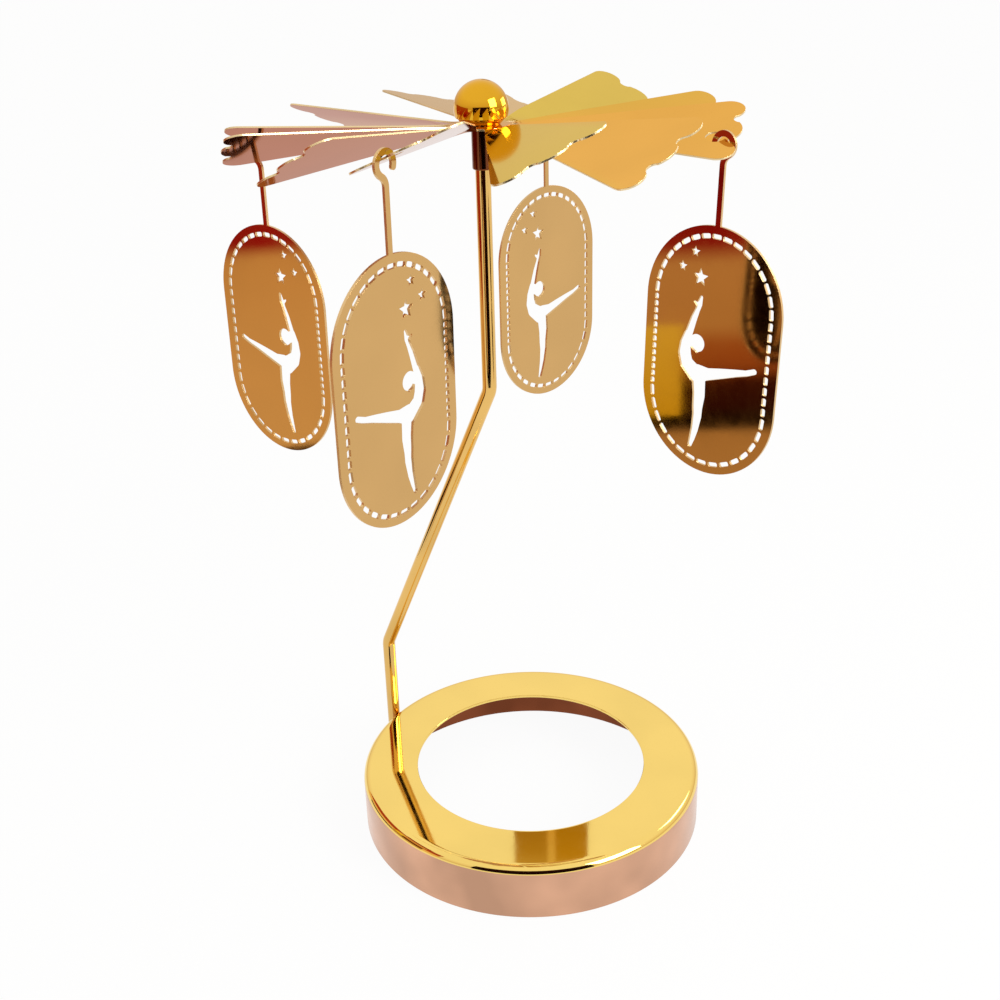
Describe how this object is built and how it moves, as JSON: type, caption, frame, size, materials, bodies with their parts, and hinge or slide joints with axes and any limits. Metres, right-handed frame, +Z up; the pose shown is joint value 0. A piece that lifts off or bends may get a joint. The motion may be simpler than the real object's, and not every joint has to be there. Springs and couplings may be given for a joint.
{
  "type": "angel chime carousel",
  "caption": "Tealight ring with a bent rod that carries a free-spinning blade wheel, from which flat charms with cut-out dancers hang on hooks.",
  "frame": {"origin": "on the ring's axis, in the plane of the table that the skirt stands on", "axes": "+Z up, -Y towards the viewer of the picture, +X to the viewer's right"},
  "size_m": [0.0938, 0.0932, 0.1377],
  "materials": {
    "gold_plated_ring": "mirror-polished gold plate on pressed steel sheet",
    "gold_plated_rod": "bright gold plate on drawn steel wire",
    "brazing_filler": "flowed filler under gold plate",
    "gold_plated_blades": "mirror-polished gold plate on thin steel sheet",
    "dark_sleeve": "turned, plated, darker inside the fan's shadow",
    "gold_plated_knob": "turned and polished gold plate",
    "gold_plated_charms": "mirror-polished gold plate on etched steel sheet"
  },
  "bodies": {
    "stand": {"base_ring": "gold_plated_ring", "support_rod": "gold_plated_rod", "braze_bead": "brazing_filler"},
    "rotor": {"rotor_plate": "gold_plated_blades", "hub_sleeve": "dark_sleeve", "knob": "gold_plated_knob"},
    "charm_front_left_body": {"charm_front_left": "gold_plated_charms"},
    "charm_left_body": {"charm_left": "gold_plated_charms"},
    "charm_back_right_body": {"charm_back_right": "gold_plated_charms"},
    "charm_right_body": {"charm_right": "gold_plated_charms"}
  },
  "joints": [
    {"name": "rotor_spin", "type": "hinge", "parent": "stand", "child": "rotor", "pos_m": [-0.00584, 0.00254, 0.1306], "axis": [0, 0, 1], "continuous": true},
    {"name": "charm_front_left_swing", "type": "hinge", "parent": "rotor", "child": "charm_front_left_body", "pos_m": [-0.01792, -0.03454, 0.13145], "axis": [0.8096, -0.5861, -0.0332], "range_deg": [-30, 30]},
    {"name": "charm_left_swing", "type": "hinge", "parent": "rotor", "child": "charm_left_body", "pos_m": [-0.04344, 0.01171, 0.1258], "axis": [-0.628, -0.7782, 0], "range_deg": [-30, 30]},
    {"name": "charm_back_right_swing", "type": "hinge", "parent": "rotor", "child": "charm_back_right_body", "pos_m": [0.00509, 0.03966, 0.12584], "axis": [-0.712, 0.7022, 0], "range_deg": [-30, 30]},
    {"name": "charm_right_swing", "type": "hinge", "parent": "rotor", "child": "charm_right_body", "pos_m": [0.03084, -0.01056, 0.12885], "axis": [0.7046, 0.7096, 0], "range_deg": [-30, 30]}
  ]
}
